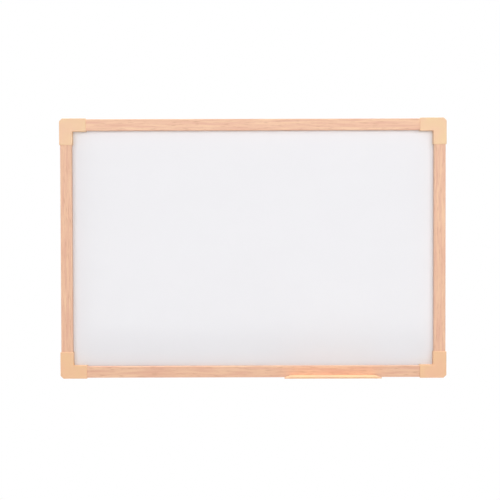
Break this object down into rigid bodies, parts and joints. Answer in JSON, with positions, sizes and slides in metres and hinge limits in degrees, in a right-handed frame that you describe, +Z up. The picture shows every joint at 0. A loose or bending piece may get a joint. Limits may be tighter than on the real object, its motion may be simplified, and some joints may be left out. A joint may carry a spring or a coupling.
{
  "type": "whiteboard",
  "caption": "Framed wall whiteboard with wood-print rails, moulded corner caps with keyholes in their backs, and a short clip-on pen tray.",
  "frame": {"origin": "middle of the board on the wall plane, which the backs of the corner caps touch", "axes": "+X to the right as seen from the front, +Z up, +Y into the wall, so the writing face looks along -Y"},
  "size_m": [0.612, 0.0385, 0.412],
  "materials": {
    "white_lacquer": "smooth gloss lacquer",
    "fibreboard": "raw hardboard",
    "back_sheet_grey": "grey satin",
    "wood_print": "satin beech-print foil",
    "cap_plastic": "fine satin",
    "zinc_screw": "bright zinc"
  },
  "bodies": {
    "root": {"writing_sheet": "white_lacquer", "core_board": "fibreboard", "back_sheet": "back_sheet_grey", "rail_top": "wood_print", "rail_bottom": "wood_print", "rail_left": "wood_print", "rail_right": "wood_print", "cap_top_left": "cap_plastic", "cap_top_right": "cap_plastic", "cap_bottom_left": "cap_plastic", "cap_bottom_right": "cap_plastic", "pen_tray": "cap_plastic", "cap_screw_top_left_a": "zinc_screw", "cap_screw_top_left_b": "zinc_screw", "cap_screw_top_right_a": "zinc_screw", "cap_screw_top_right_b": "zinc_screw", "cap_screw_bottom_left_a": "zinc_screw", "cap_screw_bottom_left_b": "zinc_screw", "cap_screw_bottom_right_a": "zinc_screw", "cap_screw_bottom_right_b": "zinc_screw"}
  },
  "joints": []
}
